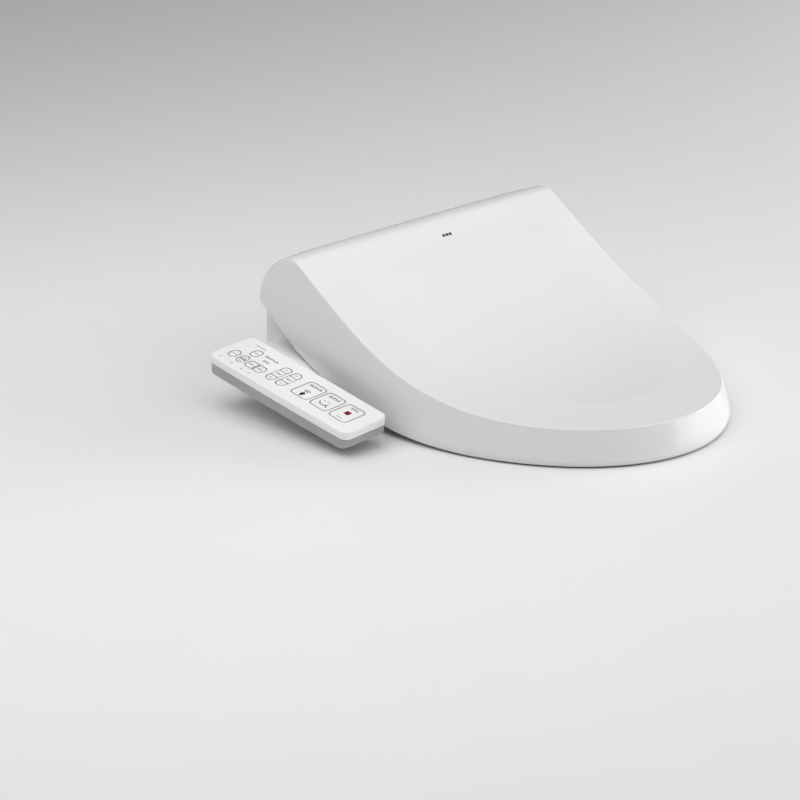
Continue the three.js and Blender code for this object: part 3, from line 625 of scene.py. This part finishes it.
def top_section(w, z, up):
    """Section of the seat's shell as (distance inwards, height), for a width, top height and lift."""
    low, skin = SEAT_TOP_LOW + up, SEAT_SKIN
    return [
        (1.0, low), (0.4, low + 0.3), (-0.1, low + 3), (0.1, z - 9), (0.8, z - 5.4), (2.6, z - 2.7),
        (6, z - 1.0), (w * 0.26, z), (w * 0.42, z), (w * 0.6, z - 0.7), (w * 0.78, z - 3), (w - 5, z - 6),
        (w - 1.4, z - 10), (w - 0.1, z - 14), (w, low + 0.4), (w - 0.5, low), (w - skin, low),
        (w - skin, z - 14), (w * 0.76, z - 3 - skin), (w * 0.42, z - skin), (9, z - 1 - skin),
        (skin + 0.2, z - 9), (skin + 0.4, low)]


def base_section(w, _, up):
    """Section of the seat's underside, which has a shallow groove along each edge."""
    low = SEAT_BASE_LOW + up
    groove, high, top = low + 1, low + 2.6, low + 3
    return [
        (1.4, low), (0.7, low + 0.4), (0.6, high), (0.9, top), (w * 0.5, top), (w - 0.9, top),
        (w - 0.6, high), (w - 0.7, low + 0.4), (w - 1.4, low), (w - 9, low), (w - 9.6, groove),
        (w - 11.4, groove), (w - 12, low), (w * 0.5, low), (12, low), (11.4, groove), (9.6, groove),
        (9, low)]


def make_seat():
    """The seat's shell and underside, its arms and its four bumpers."""
    for name, section, material, node in (
        ("seat_ring_top", top_section, GLOSS, "seat_top"),
        ("seat_underside", base_section, SATIN, "seat_base"),
    ):
        mesh = mesh_from(name, *seat_ring(section))
        piece = add_object(name, mesh, "seat", material, (node,))
        piece.modifiers.new("smooth", "SUBSURF").levels = 1
        apply_modifiers(piece)
        smooth_by_angle(piece.data, 50)
    make_arms()
    for end in ("front", "rear"):
        for side in ("left", "right"):
            soften(f"seat_bumper_{end}_{side}", "seat", RUBBER, 1.8)


def make_arms():
    """The two arms that carry the seat ring from the hinge pins."""
    turn = np.linspace(math.radians(171), math.radians(-85), 30)
    hub = np.stack([AXIS_Y + ARM_HUB_R * np.cos(turn), AXIS_Z + ARM_HUB_R * np.sin(turn)], 1)
    bottom = smooth_curve(
        [(AXIS_Y + 1, AXIS_Z - ARM_HUB_R), (-42, 79), (-72, 51), (-92, 29), (-104, 17)], 8)
    top = smooth_curve(
        [(-126, 26), (-121, 37), (-104, 46), (-82, 62), (-52, 88), (AXIS_Y - ARM_HUB_R, AXIS_Z + 2)], 8)
    outline = np.vstack([hub, bottom, top[:-1]])
    levels = [(-1.5, ARM_INNER), (-0.5, ARM_INNER + 0.4), (0, ARM_INNER + 1.5),
              (0, ARM_OUTER - 1.5), (-0.5, ARM_OUTER - 0.4), (-1.5, ARM_OUTER)]
    for name, side in (("left", -1), ("right", 1)):
        flip = Matrix(((0, 0, side, 0), (1, 0, 0, 0), (0, 1, 0, 0), (0, 0, 0, 1)))
        points, faces = stacked(outline[::-1], levels)
        mesh = mesh_from(f"seat_arm_{name}", points, faces, flip)
        arm = add_object(f"seat_arm_{name}", mesh, "seat", GLOSS)
        bore, faces = lathe([(PIN_BORE_R, -20), (PIN_BORE_R, 20)])
        across = Matrix.Translation(Vector((side * 175, AXIS_Y, AXIS_Z)) * MM)
        across @= Matrix.Rotation(math.pi / 2, 4, "Y")
        cut(arm, mesh_from("bore", bore, faces, across))
        smooth_by_angle(arm.data)


# ---- Body, nozzles and small pieces -----------------------------------------


def make_body():
    """The body's pieces, each as its CAD solid with rounded edges."""
    soften("main_cover", "base", SATIN, 1.2, segments=4)
    # The arm takes the panel's brighter white, which also paints light onto its ledge, in shade between
    # the lid and the panel.
    soften("panel_arm", "base", PANEL_WHITE, 1.6, segments=4)
    for node, body, material, radius, slot in (
        ("base_plate", "base", INNER, 1.2, "inner_grey"),
        ("mounting_bracket", "base", INNER, 0.6, "inner_grey"),
        ("bolt_plate_left", "base", INNER, 0.5, "inner_grey"),
        ("bolt_plate_right", "base", INNER, 0.5, "inner_grey"),
        ("hinge_shaft_left", "base", PIN_STEEL, 0.5, "steel"),
        ("hinge_shaft_right", "base", PIN_STEEL, 0.5, "steel"),
        ("hinge_damper_left", "base", DARK, 0.8, "dark_plastic"),
        ("hinge_damper_right", "base", DARK, 0.8, "dark_plastic"),
        ("water_tank", "base", INNER, 4.0, "inner_grey"),
        ("solenoid_valve", "base", DARK, 0.8, "dark_plastic"),
        ("deodoriser_fan", "base", DARK, 2.0, "dark_plastic"),
        ("main_board", "base", BOARD, 0.5, "circuit_board"),
        ("cord_gland", "base", DARK, 0.5, "dark_plastic"),
        ("drain_plug", "base", SATIN, 0.5, "satin_white"),
        ("nozzle_housing", "base", SATIN, 1.2, "satin_white"),
        ("rear_wash_motor", "base", DARK, 1.0, "dark_plastic"),
        ("front_wash_motor", "base", DARK, 1.0, "dark_plastic"),
        ("filter_cartridge", "filter", SATIN, 1.0, "satin_white"),
        ("release_button", "release", TRAY, 1.2, "tray_grey"),
        ("inlet_fitting", "base", BRASS, 0.4, "brass"),
        ("rear_wash_nozzle", "rear_nozzle", STEEL, 0.5, "steel"),
        ("rear_wash_nozzle_tip", "rear_nozzle", INNER, 1.2, "inner_grey"),
        ("front_wash_nozzle", "front_nozzle", STEEL, 0.5, "steel"),
        ("front_wash_nozzle_tip", "front_nozzle", INNER, 1.2, "inner_grey"),
    ):
        soften(node, body, material, radius)
    # Two pieces keep their CAD shape and only get a material.
    for node, material in (("seat_heater", FOIL), ("panel_board", BOARD)):
        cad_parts[node].data.materials.clear()
        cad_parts[node].data.materials.append(material)


# ---- Control panel ----------------------------------------------------------

PANEL_MATRIX = (Matrix.Translation(Vector(PANEL_AT) * MM) @ Matrix.Rotation(PANEL_PITCH, 4, "X")
                @ Matrix.Rotation(PANEL_ROLL, 4, "Y"))
# Keys as shares of the panel's length from the rear and of its width from the outer edge, then length,
# width and corner radii at the outer front, inner front, inner rear and outer rear.
BIG = (27.0, 32.6, (5.5, 5.5, 5.5, 5.5))
OVAL = (11.6, 15.6, (5.6, 5.6, 5.6, 5.6))
OUTER_OVAL = (11.6, 7.8, (5.6, 0.4, 0.4, 5.6))
INNER_OVAL = (11.6, 7.8, (0.4, 5.6, 5.6, 0.4))
OUTER_PILL = (12.6, 11.0, (5.8, 0.4, 0.4, 5.8))
INNER_PILL = (12.6, 11.0, (0.4, 5.8, 5.8, 0.4))
REAR_CELL = (13.0, 14.0, (0.4, 0.4, 4.5, 4.5))
FRONT_CELL = (13.0, 14.0, (4.5, 4.5, 0.4, 0.4))
KEYS = {
    "power": (0.083, 0.335, OVAL),
    "wide_spray": (0.15, 0.25, OUTER_OVAL),
    "moving_spray": (0.15, 0.39, INNER_OVAL),
    "energy_saver": (0.152, 0.63, OVAL),
    "water_heat": (0.218, 0.31, REAR_CELL),
    "seat_heat": (0.281, 0.31, FRONT_CELL),
    "pressure_less": (0.37, 0.285, OUTER_PILL),
    "pressure_more": (0.37, 0.655, INNER_PILL),
    "nozzle_back": (0.443, 0.285, OUTER_PILL),
    "nozzle_forward": (0.443, 0.655, INNER_PILL),
    "rear_wash": (0.585, 0.49, BIG),
    "front_wash": (0.721, 0.49, BIG),
    "stop": (0.86, 0.49, BIG),
}


def panel_point(along, across):
    """Panel coordinates of a share of its length from the rear and of its width from the outer edge."""
    return (across - 0.5) * PANEL_WIDTH, (0.5 - along) * PANEL_LENGTH


def panel_outline(inset):
    """The panel's outline moved inwards. Its outer side bows a little and leans out towards the rear."""
    half = PANEL_LENGTH / 2 - inset
    points = rounded_rect(0, 0, PANEL_WIDTH - 2 * inset, 2 * half, PANEL_CORNER - inset, 10)
    side = [(points[-1][0], y) for y in np.linspace(points[-1][1], points[0][1], 18)[1:-1]]
    out = []
    for x, y in points + side:
        if x < 0:
            x -= PANEL_TAPER * (y / PANEL_LENGTH + 0.5) + PANEL_BOW * max(0, 1 - (y / half) ** 2)
        out.append((x, y))
    return out


def key_outline(name, grow):
    """A key's outline made larger all round, or smaller."""
    along, across, (length, width, radii) = KEYS[name]
    x, y = panel_point(along, across)
    radii = tuple(max(0.1, r + grow) for r in radii)
    return rounded_rect(x, y, width + 2 * grow, length + 2 * grow, radii, 6)


def join_parts(parts):
    """Several (points, faces) bodies as one."""
    points, faces, base = [], [], 0
    for p, f in parts:
        points.extend([tuple(q) for q in p])
        faces.extend([tuple(i + base for i in face) for face in f])
        base += len(p)
    return points, faces


def ring(outer, inner, bottom, top):
    """A flat ring between two outlines of equal length."""
    rings = [np.column_stack([np.asarray(line, float), np.full(len(line), z)])
             for line, z in ((inner, bottom), (outer, bottom), (outer, top), (inner, top))]
    return np.vstack(rings), grid_faces(4, len(outer), wrap_rows=True, wrap_columns=True)


def plate(outline, bottom, top):
    """A flat body between two heights."""
    return stacked(outline, [(0, bottom), (0, top)])


def bar(along, across, length, width):
    """A small printed bar, `length` along the panel and `width` across it."""
    x, y = panel_point(along, across)
    return plate(rounded_rect(x, y, width, length, min(width, length) * 0.3, 3), -0.05, 0.05)


def icon_part(outline):
    """A printed shape in an icon."""
    return plate(outline, -0.02, 0.05)


def panel_mesh(name, parts):
    """A mesh from one or several bodies in the panel's own coordinates."""
    return mesh_from(name, *join_parts(parts), PANEL_MATRIX)


def printed(name, parts, body, material):
    """A piece made of flat bodies in the panel's own coordinates."""
    mesh = panel_mesh(name, parts)
    smooth_by_angle(mesh)
    add_object(name, mesh, body, material)


def make_keys():
    """The key caps, each with the line printed round it."""
    levels = fillet_levels(0.3, -KEY_HEIGHT, 0.0, 3)
    for name in KEYS:
        body = f"key_{name}"
        mesh = panel_mesh(f"{name}_key_cap", [stacked(key_outline(name, -KEY_INSET), levels)])
        smooth_by_angle(mesh)
        add_object(f"{name}_key_cap", mesh, body, KEY_WHITE, (body,))
        line = ring(key_outline(name, -0.32), key_outline(name, -1.12), -0.1, 0.06)
        printed(f"{name}_key_ring", [line], body, PRINT_LINE)


def make_top_shell():
    """The panel's white shell, hollow from below, with a hole for each key."""
    low = -COVER_HEIGHT
    levels = [(-0.7, low), (-0.2, low + 0.4), *fillet_levels(1.5, low + 2, 0.0, 6), (-2.2, 0.0)]
    mesh = panel_mesh("panel_top_shell", [stacked(panel_outline(0), levels)])
    cover = add_object("panel_top_shell", mesh, "base", PANEL_WHITE, ("panel_cover",))
    cut(cover, panel_mesh("hollow", [plate(panel_outline(2.2), low - 1, -PANEL_SKIN)]))
    for name in KEYS:
        cut(cover, panel_mesh("key_hole", [plate(key_outline(name, KEY_GAP), -3.2, 1.0)]))
    smooth_by_angle(cover.data, 40)


def make_bottom_shell():
    """The panel's grey shell, which is cut back under its front end."""
    top = -COVER_HEIGHT - SHELL_GAP
    low = top - TRAY_HEIGHT
    levels = [(-3.0, low), (-1.6, low + 0.3), (-0.7, low + 1.1), (-0.2, low + 2.4), (0, low + 4),
              (0.3, top - 0.8), (0.1, top - 0.2), (-0.5, top)]
    mesh = panel_mesh("panel_bottom_shell", [stacked(panel_outline(0.8), levels)])
    tray = add_object("panel_bottom_shell", mesh, "base", TRAY, ("panel_tray",))
    nose = -PANEL_LENGTH / 2
    wedge = [(nose - 2, low - 1), (nose + 16, low - 1), (nose + 14, low + 0.3), (nose - 2, low + 5.5)]
    points = [(x, y, z) for x in (-50, 50) for y, z in wedge]
    faces = [(0, 1, 2, 3), (7, 6, 5, 4)]
    faces += [(i, i + 4, (i + 1) % 4 + 4, (i + 1) % 4) for i in range(4)]
    cut(tray, panel_mesh("wedge", [(points, faces)]))
    smooth_by_angle(tray.data)
    gasket = plate(panel_outline(2.0), top - 2, -COVER_HEIGHT + 2)
    printed("panel_seam_gasket", [gasket], "base", DARK)


def make_panel():
    """The control panel's shells, mat, keys, prints, lamps and icons."""
    make_top_shell()
    make_bottom_shell()
    printed("panel_key_mat", [plate(panel_outline(2.6), MAT_BOTTOM, MAT_TOP)], "base", PRINT_BLACK)
    make_keys()
    make_prints()
    make_lamps()
    make_icons()


# Shares of a label's length that its strokes take, for its first and second line and for short ones.
LINE_SHARES, SHORT_SHARES = ((0.52, 0.42), (0.26, 0.36, 0.22)), (0.5, 0.36)


def label(along, across, length, width, lines=2):
    """Plain strokes where words would be, running along the panel."""
    parts = []
    for i in range(lines):
        shift = (i - (lines - 1) / 2) * width * 2.0 / PANEL_WIDTH
        shares = LINE_SHARES[i] if length > 7 else SHORT_SHARES
        space = (1 - sum(shares)) / (len(shares) - 1)
        at = -0.5
        for share in shares:
            middle = along + (at + share / 2) * length / PANEL_LENGTH
            parts.append(bar(middle, across + shift, length * share, width))
            at += share + space
    return parts


def make_prints():
    """Labels beside the keys, and the lines that close the pairs of half-round keys."""
    labels = label(0.120, 0.83, 15, 0.8, 1) + label(0.245, 0.70, 20, 0.8) + label(0.245, 0.565, 9, 0.9)
    lines = []
    for along in (0.37, 0.443):
        labels += label(along, 0.47, 6.5, 0.9)
        x, y = panel_point(along, 0.47)
        for end in (-6.0, 6.0):
            lines.append(plate(rounded_rect(x, y + end, 11.1, 0.65, 0.1, 2), -0.05, 0.04))
    for along in (0.058, 0.147, 0.217, 0.272):
        labels.append(bar(along, 0.075, 2.6, 0.9))
    printed("panel_labels", labels, "base", PRINT)
    printed("panel_pill_lines", lines, "base", PRINT_LINE)


def make_lamps():
    """Small domed lamps on the panel."""
    for name, along, across in (
        ("a", 0.058, 0.14), ("b", 0.0845, 0.14), ("c", 0.108, 0.14), ("d", 0.147, 0.14),
        ("e", 0.217, 0.13), ("f", 0.245, 0.13), ("g", 0.272, 0.13),
        ("h", 0.487, 0.355), ("i", 0.487, 0.479), ("j", 0.487, 0.589),
    ):
        points, faces = lathe([(0.85, -0.1), (0.85, 0.04), (0.6, 0.16), (0.25, 0.22)], 20)
        dome = np.array(points) + (*panel_point(along, across), 0)
        add_object(f"led_{name}", panel_mesh(f"led_{name}", [(dome, faces)]), "base", LED)


def arc_stroke(x, y, radius, start, end):
    """A printed arc, 1.1 mm wide."""
    turn = np.radians(np.linspace(start, end, 10))
    outer, inner = radius + 0.55, radius - 0.55
    outline = [(x + outer * math.cos(a), y + outer * math.sin(a)) for a in turn]
    outline += [(x + inner * math.cos(a), y + inner * math.sin(a)) for a in turn[::-1]]
    return icon_part(outline)


def make_icons():
    """Icons and labels on the keys."""
    x, y = panel_point(0.585, 0.37)
    nozzle = icon_part([
        (x - 6.2, y + 1.1), (x - 6.2, y - 1.1), (x - 0.8, y - 2.9), (x + 2, y), (x - 0.8, y + 2.9)])
    sprays = [arc_stroke(x - 1.2, y, r, -34, 34) for r in (5.4, 7.8)]
    printed("rear_wash_icon", [nozzle, *sprays], "key_rear_wash", PRINT_BLACK)
    printed("rear_wash_label", label(0.585, 0.655, 18, 1.0), "key_rear_wash", PRINT)

    x, y = panel_point(0.721, 0.39)
    sweep = [arc_stroke(x + 4.2, y + 0.6, 6.5, 110, 250), arc_stroke(x - 4.4, y - 4.0, 3.2, -80, 60)]
    drops = [icon_part(rounded_rect(x + dx, y + dy, 1.5, 1.5, 0.7125, 4))
             for dx, dy in ((5.6, 3.2), (6.0, -0.8), (5.3, -4.4))]
    printed("front_wash_icon", sweep + drops, "key_front_wash", PRINT_BLACK)
    printed("front_wash_label", label(0.721, 0.655, 16, 1.0), "key_front_wash", PRINT)

    x, y = panel_point(0.86, 0.505)
    square = icon_part(rounded_rect(x, y, 6.6, 6.6, 0.5, 3))
    printed("stop_icon", [square], "key_stop", PRINT_RED)
    stop_marks = label(0.86, 0.675, 10, 1.0) + label(0.86, 0.31, 7, 1.0, 1)
    printed("stop_label", stop_marks, "key_stop", PRINT)

    for name, (along, across, size) in KEYS.items():
        if size is BIG:
            continue
        length = 6.0 if size in (OVAL, REAR_CELL, FRONT_CELL) else 3.4
        marks = label(along, across, length, 0.85, 2 if size in (REAR_CELL, FRONT_CELL) else 1)
        printed(f"{name}_key_mark", marks, f"key_{name}", PRINT)


# ---- Scene ------------------------------------------------------------------


# What the lights are aimed at, in metres.
AIM = Vector((0, -0.18, 0.05))


def make_stage():
    """The floor, just below the plane of the bowl's rim."""
    far, z = 6000, -0.05
    points = [(-far, -far, z), (far, -far, z), (far, far, z), (-far, far, z)]
    mesh = mesh_from("floor", points, [(0, 1, 2, 3)])
    floor = bpy.data.objects.new("floor", mesh)
    bpy.context.scene.collection.objects.link(floor)
    paint = moulded("floor_paint", (0.88, 0.885, 0.89), 0.55, 0.05, 60.0, 0.05, 0.01)
    floor.data.materials.append(paint)


def area_light(name, at, power, width, height):
    """A soft light aimed at the seat, with its place and size in metres."""
    data = bpy.data.lights.new(name, "AREA")
    data.energy = power
    data.shape = "RECTANGLE"
    data.size = width
    data.size_y = height
    light = bpy.data.objects.new(name, data)
    bpy.context.scene.collection.objects.link(light)
    light.location = at
    light.rotation_euler = (AIM - Vector(at)).to_track_quat("-Z", "Y").to_euler()


def make_lights():
    """A pale room and five large lights."""
    world = bpy.data.worlds.new("studio")
    world.use_nodes = True
    background = world.node_tree.nodes["Background"]
    background.inputs["Color"].default_value = (0.97, 0.98, 1.0, 1)
    background.inputs["Strength"].default_value = 0.20
    bpy.context.scene.world = world
    area_light("top_left", (-1.8, -0.3, 2.3), 17, 2.6, 2.6)
    area_light("right", (2.6, -1.0, 0.8), 43, 2.6, 1.2)
    area_light("right_low", (2.5, -2.1, 0.8), 27, 3.0, 1.6)
    area_light("front", (0.3, -2.7, 2.2), 22, 2.4, 2.4)
    area_light("near", (-0.5, 0.0, 1.2), 9.2, 1.5, 1.5)


def make_camera():
    """The photograph's view, from the near side, in front and above."""
    data = bpy.data.cameras.new("camera")
    data.sensor_width = 36
    data.lens = 157.5
    data.clip_end = 100
    camera = bpy.data.objects.new("camera", data)
    bpy.context.scene.collection.objects.link(camera)
    camera.location = (-2.4964, -2.6520, 1.3248)
    forward = Vector((0.6385, 0.6831, -0.3546))
    camera.rotation_euler = forward.to_track_quat("-Z", "Y").to_euler()
    bpy.context.scene.camera = camera


make_camera()
make_lights()
make_stage()
make_lid()
make_seat()
make_body()
make_panel()

bpy.context.scene.view_settings.view_transform = "Standard"
